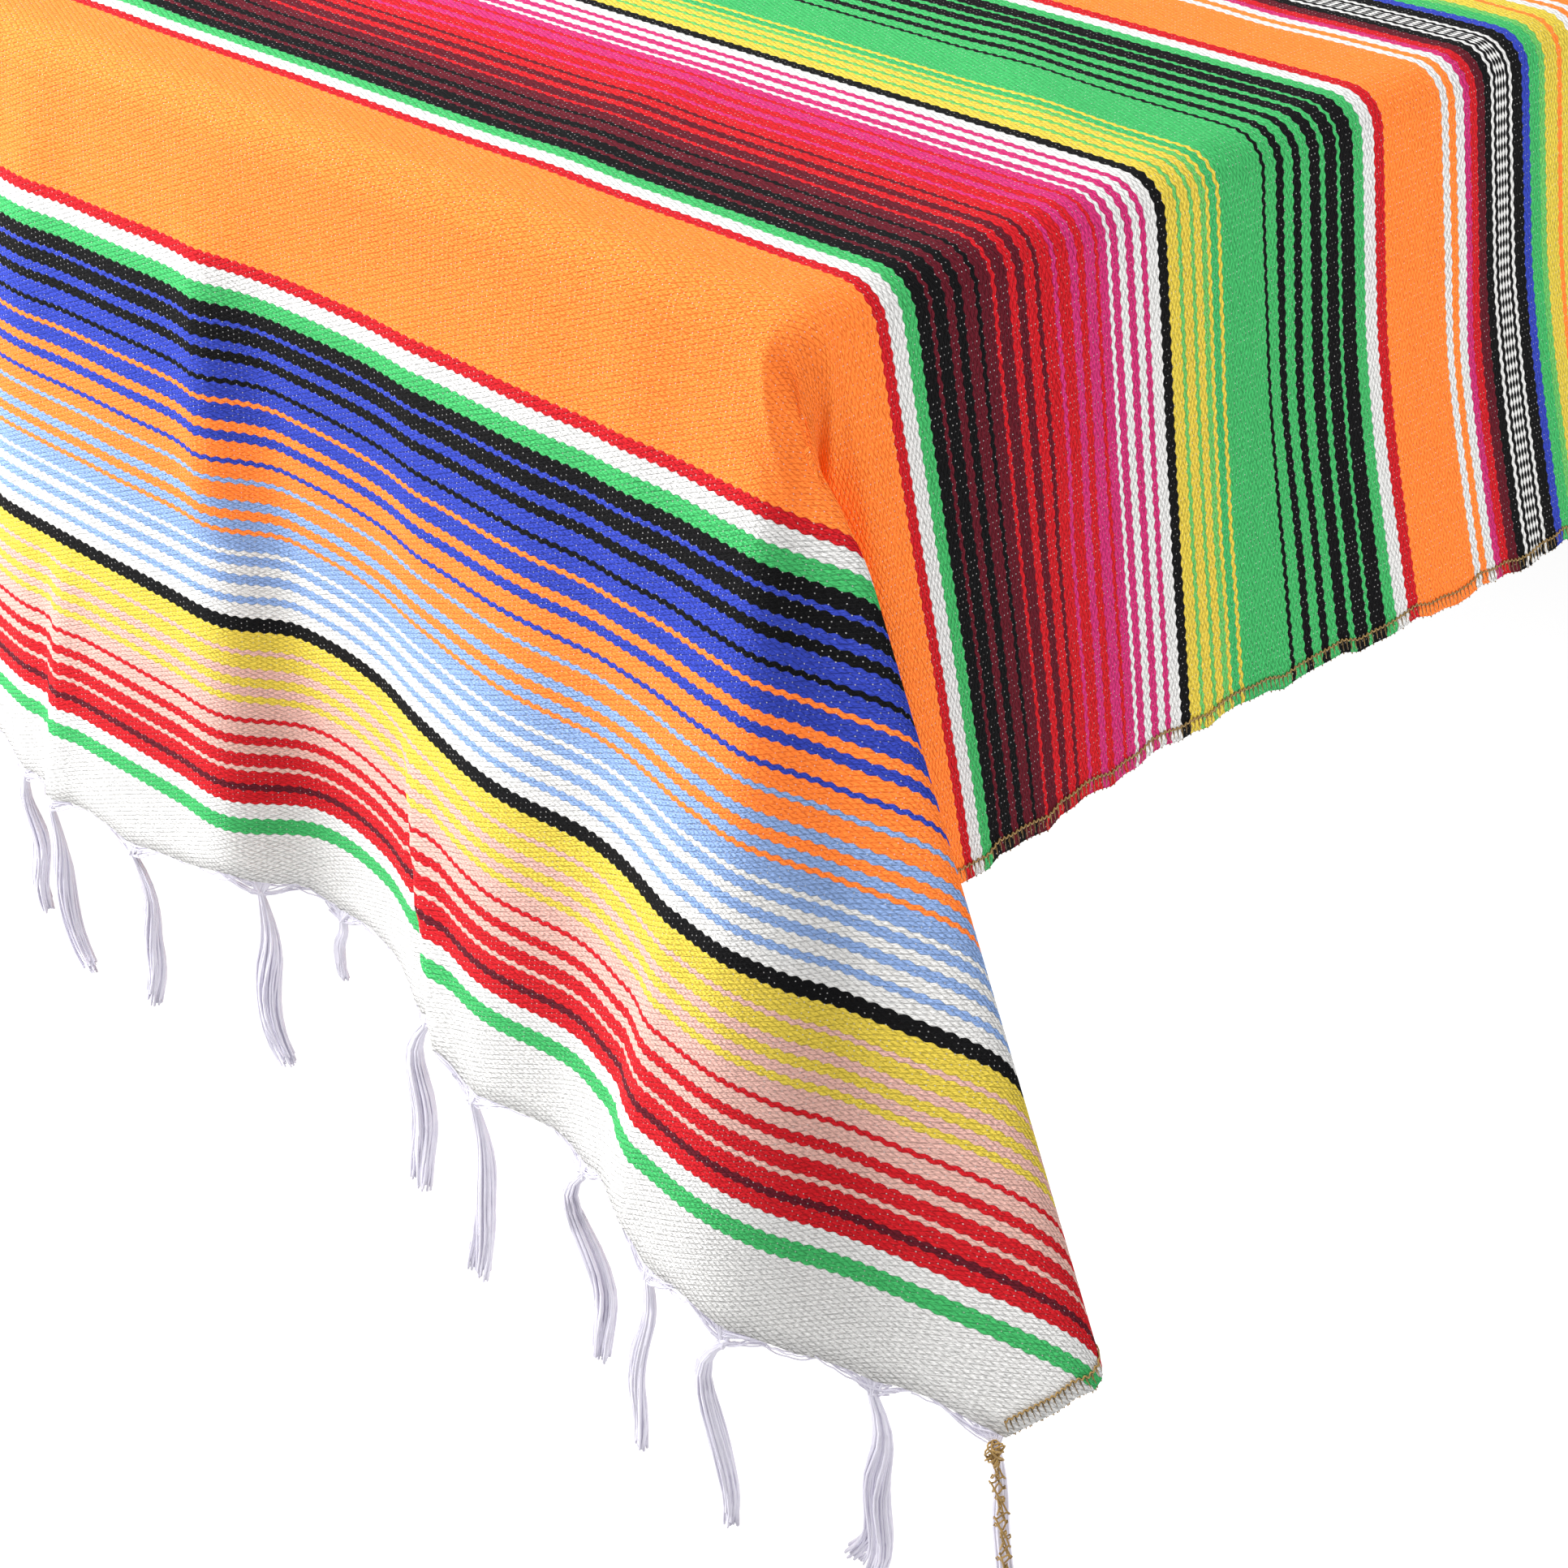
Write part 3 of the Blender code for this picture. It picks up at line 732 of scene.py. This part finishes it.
def striped(finish, row, stripes):
    """The colour of a row of picks, from one ramp for each stretch of stripes."""
    result = None
    for start, stops in ramp_sections(stripes):
        stops = [(place / RAMP_PICKS, YARN[name]) for place, name in stops]
        # Sampling past the middle of a row keeps clear of the ramp's own rounding.
        place = (row - (start - 0.75)) / RAMP_PICKS
        ramp = finish.node("ValToRGB", {"stops": stops}, {"Fac": place}).outputs[0]
        result = ramp if result is None else finish.mix(row > start - 0.5, result, ramp)
    return result


mirrored_row = weave.math("MINIMUM", row, (ALL_PICKS - 1) - row)
outer_colour = striped(weave, mirrored_row, outer)
middle_colour = striped(weave, row - OUTER_PICKS, middle)
yarn_colour = weave.mix(mirrored_row > OUTER_PICKS - 0.5, outer_colour, middle_colour)
print(len(weave.tree.nodes), "nodes so far")

# %% [markdown]
# The weft is a soft two-ply yarn. Its plies slant across each float, so the light catches short
# slanted ticks, and the hollows between floats are darker. Besides the bump, both are painted into
# the colour: painted highlights on the float tops and ticks, painted shade in the hollows.

# %% Plies, warp dots, relief and painted shade
PLY_SLANT = radians(20)
TICK_LENGTH = 0.0024
TICK_WIDTH = 0.0008
FUZZ_SCALE = 1500.0
ROUND_ACROSS = 3.0
ROUND_ALONG = 2.4
RELIEF = 0.0009
TICK_RELIEF = 0.45
FUZZ_RELIEF = 0.2
DARKEST = 0.56
ROUND_PAINTED_LIGHT = 0.30
TICK_PAINTED_HIGHLIGHT = 0.37
TONE_LIGHT = 0.16
DOT_RADIUS = 0.00041
DOT_SHOWS = 0.85
WARP_COLOUR = colour(236, 234, 232)
# The red glow painted on the orange yarn, as painted light.
PAINTED_ORANGE_GLOW = colour(132, 37, 0)
ALMOST_FULL = 0.92
FULL = 0.98

with_ply = (across * np.sin(PLY_SLANT) - along * np.cos(PLY_SLANT)) / TICK_LENGTH
across_ply = (across * np.cos(PLY_SLANT) + along * np.sin(PLY_SLANT)) / TICK_WIDTH
tick = weave.smooth_step(weave.noise(weave.vector(with_ply, across_ply), 1.0, 1.0), 0.3, 0.7)
rounded = 1 - float_across * float_across * ROUND_ACROSS
rounded = rounded * (1 - float_along * float_along * ROUND_ALONG)
fuzz = weave.noise(weave.vector(across, along), FUZZ_SCALE, 2.0)
weave.raise_by(rounded + tick * TICK_RELIEF + fuzz * FUZZ_RELIEF, RELIEF)

dot_row = weave.math("FLOOR", pick_place)
dot_place = along / WARP_PITCH + dot_row * 0.5
dot_number = weave.math("FLOOR", dot_place + 0.5)
dot_along = (dot_place - dot_number) * (WARP_PITCH / DOT_RADIUS)
dot_across = (pick_place - dot_row - 0.5) * (PICK / DOT_RADIUS)
dot_off = weave.math("SQRT", dot_along * dot_along + dot_across * dot_across)
dot_strength = weave.smooth_step(weave.speckle(weave.vector(dot_number, dot_row)), 0.2, 1.1)
dot = (1 - weave.smooth_step(dot_off, 0.5, 1.1)) * dot_strength * DOT_SHOWS

tone = weave.noise(weave.vector(row * 0.35, along * 14), 1.0, 2.0)
# Painted light: float tops and ply ticks lighten the yarn as painted highlights, and the hollows
# darken it as painted shade. Tone is the yarn's own random tone.
shade = DARKEST + rounded * ROUND_PAINTED_LIGHT + tick * TICK_PAINTED_HIGHLIGHT + tone * TONE_LIGHT
shaded = weave.mix(1.0, yarn_colour, weave.vector(shade, shade, shade), "MULTIPLY")
dotted = weave.mix(dot, shaded, WARP_COLOUR)
weave.feed(weave.surface.inputs["Base Color"], dotted)

# The orange yarn glows a steady red. This is painted light that keeps it bright where it is in shade,
# standing in for a fluorescent dye. It is the one yarn whose red is full.
red_part = Number(weave, weave.node("SeparateColor", {}, {"Color": yarn_colour}).outputs["Red"])
orange_glow_mask = weave.smooth_step(red_part, ALMOST_FULL, FULL)
weave.feed(
    weave.surface.inputs["Emission Color"],
    weave.mix(orange_glow_mask, colour(0, 0, 0), PAINTED_ORANGE_GLOW))
panel.data.materials.append(weave.material)
print(len(weave.tree.nodes), "nodes in the weave")

# %% [markdown]
# ## Threads
#
# Everything else here is thread: the tassels, the stitches and the loose ends. A thread is a round
# profile carried along a path. Threads with as many points are made at once, from an array
# whose axes are thread, point and coordinate.

# %% Tubes along many paths
THREAD_SIDES = 4


def tubes(paths, radius, sides=THREAD_SIDES):
    """Rings round each path: the path's tangent and a fixed side vector span each ring's plane."""
    paths = np.asarray(paths, float)
    tangent = np.gradient(paths, axis=1)
    tangent /= np.linalg.norm(tangent, axis=2, keepdims=True) + NOT_ZERO
    helper = np.array([0.31, 0.47, 0.83])
    first = np.cross(tangent, helper)
    first /= np.linalg.norm(first, axis=2, keepdims=True) + NOT_ZERO
    second = np.cross(tangent, first)
    turn = np.arange(sides) * 2 * pi / sides
    radius = np.broadcast_to(radius, paths.shape[:2])[..., None, None]
    ring = first[:, :, None] * np.cos(turn)[:, None] + second[:, :, None] * np.sin(turn)[:, None]
    points = (paths[:, :, None] + radius * ring).reshape(-1, 3)
    count, length = paths.shape[:2]
    index = np.arange(count * length * sides).reshape(count, length, sides)
    index = np.concatenate([index, index[:, :, :1]], axis=2)
    a, b = index[:, :-1, :-1], index[:, 1:, :-1]
    c, d = index[:, 1:, 1:], index[:, :-1, 1:]
    walls = np.stack([a, d, c, b], axis=-1).reshape(-1, 4).tolist()
    starts = index[:, 0, :-1].tolist()
    ends = index[:, -1, :-1][:, ::-1].tolist()
    return points, walls + starts + ends


def joined(parts):
    """Several pairs of points and faces as one pair."""
    points, faces, base = [], [], 0
    for part_points, part_faces in parts:
        points.append(part_points)
        faces += [[v + base for v in face] for face in part_faces]
        base += len(part_points)
    return np.vstack(points), faces


# %% The edge's own frame
edge = grid[-1]
edge_up = grid[-2] - grid[-1]
edge_up /= np.linalg.norm(edge_up, axis=1, keepdims=True)
edge_normal = grid_normal[-1]


def edge_stretch(first, count):
    """Positions, up, normal and flat length along a run of stations that may pass the start."""
    run = (first + np.arange(count)) % STATIONS
    length = np.append(0, np.cumsum(np.linalg.norm(np.diff(edge[run], axis=0), axis=1)))
    return edge[run], edge_up[run], edge_normal[run], length, flat_edge[run]


def runs_of(mask):
    """The first station and the number of stations of each unbroken run, round the rim."""
    starts = np.flatnonzero(mask & ~np.roll(mask, 1))
    return [(s, int(np.argmin(np.roll(mask, -s)))) for s in starts]


hem_runs = runs_of(on_hem)
side_runs = [(s - 1, count + 2) for s, count in runs_of(~on_hem)]
print("hem runs", hem_runs, "serged runs", side_runs)

# %% [markdown]
# ## The overlock stitch
#
# The two cut sides are serged in gold thread. One thread runs as a chain about 8 mm in, and loops
# go from it over the edge and back. The loops are one long thread that visits four places in turn.

# %% Sew the overlock
STITCH_PITCH = 0.0036
STITCH_WIDTH = 0.0078
STITCH_POINTS = 4
CHAIN_POINTS = 6
CHAIN_SWAY = 0.0007
CHAIN_THICKER = 1.1
THREAD_RADIUS = 0.00042
CLEAR = 0.0006
END_MARGIN = 0.0015
UNEVEN = 0.0004
GOLD_DARK = colour(126, 94, 36)
GOLD_LIGHT = colour(196, 156, 78)


def along_stretch(places, length, rows):
    """Each row array read at places along its stretch."""
    return [
        np.column_stack([np.interp(places, length, values[:, k]) for k in range(3)])
        for values in rows]


def overlock(first, count):
    """A path that goes chain, edge, back face, edge, once for each stitch along a stretch."""
    *rows, length, _ = edge_stretch(first, count)
    stitches = int(length[-1] / STITCH_PITCH)
    s = np.linspace(END_MARGIN, length[-1] - END_MARGIN, stitches * STITCH_POINTS)
    at, rise, out = along_stretch(s, length, rows)
    phase = np.arange(len(s)) % STITCH_POINTS
    jitter = UNEVEN * np.sin(s * 731)
    raised = np.choose(phase, [STITCH_WIDTH, -CLEAR, STITCH_WIDTH * 0.8, -CLEAR])
    lifted = np.choose(phase, [CLEAR, -WALL * 0.2, -WALL - CLEAR, -WALL * 0.8])
    zigzag = at + rise * (raised + jitter)[:, None] + out * lifted[:, None]
    s = np.linspace(END_MARGIN, length[-1] - END_MARGIN, stitches * CHAIN_POINTS)
    at, rise, out = along_stretch(s, length, rows)
    sway = CHAIN_SWAY * np.sin(s * (2 * pi / STITCH_PITCH))
    lift = CLEAR + 0.0002 * np.cos(s * (2 * pi / STITCH_PITCH))
    chain = at + rise * (STITCH_WIDTH + sway)[:, None] + out * lift[:, None]
    return [tubes([zigzag], THREAD_RADIUS), tubes([chain], THREAD_RADIUS * CHAIN_THICKER)]


gold = Finish("gold_serging_thread", Roughness=0.55, Sheen_Weight=0.2)
gold_place = gold.node("TexCoord").outputs["Object"]
gold_tone = gold.noise(gold_place, 260.0, 2.0)
gold.feed(
    gold.surface.inputs["Base Color"],
    gold.mix(gold_tone, GOLD_DARK, GOLD_LIGHT))
gold.raise_by(gold.noise(gold_place, 2400.0, 1.0), 0.0001)

for name, run in zip(("overlock_near_side", "overlock_far_side"), side_runs):
    piece = new_piece(name, *joined(overlock(*run)), gold.material)
    print(name, len(piece.data.polygons), "faces")

# %% [markdown]
# ## The tassels
#
# The warp ends are gathered a few centimetres at a time and tied close to the hem. Below the knot
# they hang loose, and each lock has its own bend from lying folded. Particle hair would be quick,
# but wouldn't keep these bends, so each lock is a bundle of tubes that follow one drawn line.

# %% Tie the tassels
rng = np.random.default_rng(59)
THREADS = 64
THREAD_POINTS = 13
THREAD_FAN = 3
NECK_RADIUS = 2.3
COTTON_RADIUS = 0.00076
KNOT_DROP = 0.009
KNOT_SIZE = 0.0036
KNOT_SIDES = 7
KNOT_POINTS = 19
GATHER = 0.018
ROOT_INSIDE = 0.004
MM = 0.001
DOWN = np.array([0, 0, -1.0])
LOCK_FULL_AT = 0.4
LOCK_NARROWS_AT = 0.6
LOCK_NARROWS_BY = 0.35
LOCK_TWIST = 0.9
LOCK_FLATNESS = 0.75
COTTON_SHADE = colour(210, 207, 220)
COTTON_LIGHT = colour(230, 228, 238)
COTTON_GLOW = colour(240, 234, 255)


def at_place(stretch, places):
    """Position, down direction and normal on a hem at flat places along it."""
    place, up, normal, _, flat = stretch
    order = np.argsort(flat[:, 1])
    return along_stretch(places, flat[order, 1], [rows[order] for rows in (place, -up, normal)])


def lock_frame(stretch, place):
    """Roots of a lock's threads on the hem, its knot, and its directions along and out."""
    low, high = stretch[4][:, 1].min(), stretch[4][:, 1].max()
    spots = np.clip(place + np.linspace(-GATHER, GATHER, THREADS) / 2, low, high)
    roots, downs, normals = at_place(stretch, spots)
    down = downs.mean(axis=0) + DOWN
    down /= np.linalg.norm(down)
    inside = -normals * WALL / 2
    knot = roots.mean(axis=0) + down * KNOT_DROP + inside.mean(axis=0)
    side = np.sign(roots[0, 0])
    roots = roots + inside - downs * ROOT_INSIDE
    return roots, knot, np.array([0, side, 0]), np.array([side, 0, 0])


def lock_line(row, t):
    """A lock's bend and lean in mm: one, two and three half waves down it, and a drift."""
    bend = row.bow * np.sin(pi * t) + row.curl * np.sin(2 * pi * t) + row.drift * t**1.5
    bend += row.kink * np.sin(3 * pi * t) * (1 - 0.6 * t)
    lean = 2.5 * np.sin(2.2 * pi * t + row.bow)
    return bend, (lean - lean[0]) * t


def lock_swell(row, t):
    """A lock's radius in mm: it fills out below the neck and narrows towards the tip."""
    narrowing = np.clip((t - LOCK_NARROWS_AT) / (1 - LOCK_NARROWS_AT), 0, 1) ** 1.5
    fullness = np.clip(t / LOCK_FULL_AT, 0, 1) ** 0.9 * (1 - LOCK_NARROWS_BY * narrowing)
    return NECK_RADIUS + (row.width / 2 - NECK_RADIUS) * fullness


def overhand():
    """A closed trefoil: once round with the angle, plus one and a half times round twice as fast."""
    turn = np.linspace(0, 2 * pi, KNOT_POINTS)
    return np.column_stack([
        np.sin(turn) + 1.5 * np.sin(2 * turn),
        np.cos(turn) - 1.5 * np.cos(2 * turn),
        -1.3 * np.sin(3 * turn)])


def tassel(stretch, row, place):
    """Each thread is the lock's line, plus its own place in a round that swells below the knot."""
    roots, knot, along, outward = lock_frame(stretch, place)
    t = np.linspace(0, 1, THREAD_POINTS)
    bend, lean = lock_line(row, t)
    angle = rng.uniform(0, 2 * pi, THREADS)[:, None]
    radial = np.sqrt(rng.uniform(0.02, 1, THREADS))[:, None] * lock_swell(row, t)[None]
    turn = angle + LOCK_TWIST * t[None] + 0.25 * np.sin(6 * t + row.curl)[None]
    ripple = 0.5 * t[None] * np.sin(t[None] * rng.uniform(10, 22, THREADS)[:, None] + 3 * angle)
    parted = row.split * np.sign(np.cos(angle)) * np.clip((t - 0.5) / 0.5, 0, 1)[None] ** 1.5
    ends = row.length * rng.uniform(0.90, 1.0, THREADS)[:, None]
    hang = (
        knot
        + along * ((bend[None] + radial * np.cos(turn) + ripple + parted) * MM)[..., None]
        + outward * ((lean[None] + radial * np.sin(turn) * LOCK_FLATNESS) * MM)[..., None]
        + DOWN * (ends * t[None] * MM)[..., None])
    share = np.linspace(0, 1, THREAD_FAN + 1)[:-1, None]
    fan = roots[:, None] * (1 - share) + hang[:, :1] * share
    threads = np.concatenate([fan, hang], axis=1)
    size = KNOT_SIZE * row.knot
    wraps = knot + overhand() @ (np.array([along, -DOWN, outward]) * size / 3)
    return [tubes(threads, COTTON_RADIUS), tubes([wraps], size * 0.36, KNOT_SIDES)]


# Light soaks through the thin locks, which a little even glow stands for.
cotton = Finish(
    "white_cotton_fringe", Roughness=0.8, Specular_IOR_Level=0.15,
    Emission_Color=COTTON_GLOW, Emission_Strength=0.09)
cotton_place = cotton.node("TexCoord").outputs["Object"]
cotton_tone = cotton.noise(cotton_place, 90.0, 2.0)
cotton.feed(
    cotton.surface.inputs["Base Color"],
    cotton.mix(cotton_tone, COTTON_SHADE, COTTON_LIGHT))
cotton.raise_by(cotton.noise(cotton_place, 2600.0, 1.0), 0.0002)

near_hem, far_hem = [
    edge_stretch(*run) for run in sorted(hem_runs, key=lambda run: edge[run[0]][0])]
for name, node, stretch in (
        ("near_tassels", "fringe_near_end", near_hem), ("far_tassels", "fringe_far_end", far_hem)):
    # A place is measured towards the near left corner, and the far end is turned half round.
    side = np.sign(stretch[4][0, 0])
    parts = [part for row in TASSELS for part in tassel(stretch, row, row.place * side)]
    piece = new_piece(name, *joined(parts), cotton.material)
    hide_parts(node)
    print(name, len(piece.data.polygons), "faces")

# %% [markdown]
# ## Loose ends
#
# The last picks of weft have slipped. Round each knot the threads sag in nested arcs, and others
# run along the hem in shallow loops.

# %% Arcs and loops along the hems
LOOSE_RADIUS = 0.00042
LOOSE_POINTS = 13
ARCS_PER_KNOT = 12
LOOPS_ALONG_HEM = 80
HEM_MARGIN = 0.004
ARC_REACH = (0.008, 0.034)
ARC_DEPTH = (0.2, 1.2)
LOOP_REACH = (0.010, 0.030)
LOOP_DEPTH = (0.001, 0.006)


def hem_loops(stretch):
    """Threads along the hem whose sag is one hump, deepest near a knot or at a random place."""
    side = np.sign(stretch[4][0, 0])
    low, high = stretch[4][:, 1].min() + HEM_MARGIN, stretch[4][:, 1].max() - HEM_MARGIN
    centres = [(row.place * side, True) for row in TASSELS for _ in range(ARCS_PER_KNOT)]
    centres += [(place, False) for place in rng.uniform(low, high, LOOPS_ALONG_HEM)]
    t = np.linspace(0, 1, LOOSE_POINTS)
    paths = []
    for centre, at_knot in centres:
        reach = rng.uniform(*(ARC_REACH if at_knot else LOOP_REACH), 2)
        depth = rng.uniform(*ARC_DEPTH) * KNOT_DROP if at_knot else rng.uniform(*LOOP_DEPTH)
        places = np.clip(centre - reach[0] + t * reach.sum(), low, high)
        spot, down, normal = at_place(stretch, places)
        hump = (1 - np.abs((places - centre) / reach.max()) ** 1.4).clip(0)
        sag = depth * hump + 0.0005 * np.sin(t * rng.uniform(9, 30))
        out = -WALL / 2 + rng.uniform(-0.0014, 0.0016) * np.sin(pi * t * rng.uniform(1, 3))
        paths.append(spot + down * (sag - 0.001)[:, None] + normal * out[:, None])
    return tubes(paths, LOOSE_RADIUS)


for name, stretch in (("near_hem_loops", near_hem), ("far_hem_loops", far_hem)):
    piece = new_piece(name, *hem_loops(stretch), cotton.material)

# %% [markdown]
# Where the serging runs off the cloth at the corner, its threads are left as a loose chain. It
# starts in a small tangle beside the last tassel and hangs with it.

# %% The gold tail
TAIL_LENGTH = 0.112
TAIL_DRIFT = 0.021
TAIL_LOOPS = 11
TAIL_RADIUS = THREAD_RADIUS * 1.2
TAIL_SIDES = 5
TANGLE_SIZE = 0.0034

_, tail_root, tail_along, tail_out = lock_frame(near_hem, -TASSELS[-1].place)
tail_root = tail_root + tail_along * 0.003 + tail_out * 0.004
strands = []
t = np.linspace(0, 1, TAIL_LOOPS * 9)
for phase in (0.0, 2.1, 4.2):
    turn = t * TAIL_LOOPS * 2 * pi + phase
    width = 0.0030 + 0.0014 * np.sin(t * 7 + phase)
    sideways = TAIL_DRIFT * t**1.3 + width * np.sin(turn) + 0.0015 * np.sin(t * 5)
    outwards = 0.0022 * np.cos(turn * 0.5 + phase)
    hang = TAIL_LENGTH * t + 0.0022 * np.sin(turn * 2)
    strands.append(
        tail_root + sideways[:, None] * tail_along + outwards[:, None] * tail_out
        + hang[:, None] * DOWN)
tangle = tail_root + TANGLE_SIZE * np.column_stack([
    np.sin(t * 61), np.cos(t * 47), 1.5 * np.sin(t * 38 + 1)])
strands.append(tangle)
tail_piece = new_piece(
    "gold_thread_tail", *tubes(strands, TAIL_RADIUS, TAIL_SIDES), gold.material)

# %% [markdown]
# ## Floor, light and camera
#
# The photograph is a cut-out on white, lit by a large soft source from the fringed side. The floor
# is far below the hem, almost white and lit from within, so it reads as the same plain ground.

# %% Floor
FLOOR_LEVEL = -2.2
FLOOR_SIZE = 30.0
floor_mesh = bpy.data.meshes.new("floor")
signs = ((-1, -1), (1, -1), (1, 1), (-1, 1))
corners = [(x * FLOOR_SIZE, y * FLOOR_SIZE, FLOOR_LEVEL) for x, y in signs]
floor_mesh.from_pydata(corners, [], [(0, 1, 2, 3)])
floor = bpy.data.objects.new("floor", floor_mesh)
bpy.context.scene.collection.objects.link(floor)
floor_finish = Finish(
    "pale_floor", Roughness=0.9, Base_Color=colour(250, 250, 250),
    Emission_Color=colour(255, 255, 255), Emission_Strength=0.26)
floor_mesh.materials.append(floor_finish.material)

# %% Light
world = bpy.context.scene.world or bpy.data.worlds.new("soft_room")
bpy.context.scene.world = world
world.use_nodes = True
background = world.node_tree.nodes["Background"]
background.inputs["Color"].default_value = (1.0, 1.0, 1.0, 1.0)
background.inputs["Strength"].default_value = 0.56


def softbox(name, place, aim, size, power):
    """A square area light that faces a point."""
    lamp = bpy.data.lights.new(name, "AREA")
    lamp.size, lamp.energy = size, power
    obj = bpy.data.objects.new(name, lamp)
    turn = (Vector(aim) - Vector(place)).to_track_quat("-Z", "Y")
    obj.matrix_world = Matrix.Translation(place) @ turn.to_matrix().to_4x4()
    bpy.context.scene.collection.objects.link(obj)


softbox("overhead", place=(-0.9, 0.8, 2.0), aim=(-0.2, 0.1, 0.0), size=1.6, power=60.0)
softbox("left_end", place=(-1.7, 1.5, 0.3), aim=(-0.55, 0.1, -0.3), size=1.0, power=54.0)
softbox("right_side", place=(0.9, -3.2, 0.9), aim=(0.1, -0.5, -0.2), size=1.8, power=48.0)

# %% Camera
FRAME_PIXELS = 1932
FOCAL_PIXELS = 3842
CAMERA_PLACE = (-1.4867, -1.3435, 0.5209)
forward = Vector((0.6190, 0.5969, -0.5104)).normalized()
right = Vector((0.6970, -0.7170, 0.0067))
right = (right - forward * right.dot(forward)).normalized()
camera_data = bpy.data.cameras.new("camera")
camera_data.sensor_fit = "HORIZONTAL"
camera_data.sensor_width = 36.0
camera_data.lens = camera_data.sensor_width * FOCAL_PIXELS / FRAME_PIXELS
camera = bpy.data.objects.new("camera", camera_data)
axes = Matrix((right, right.cross(forward), -forward)).transposed()
camera.matrix_world = Matrix.Translation(CAMERA_PLACE) @ axes.to_4x4()
bpy.context.scene.collection.objects.link(camera)
bpy.context.scene.camera = camera
bpy.context.scene.view_settings.view_transform = "Standard"
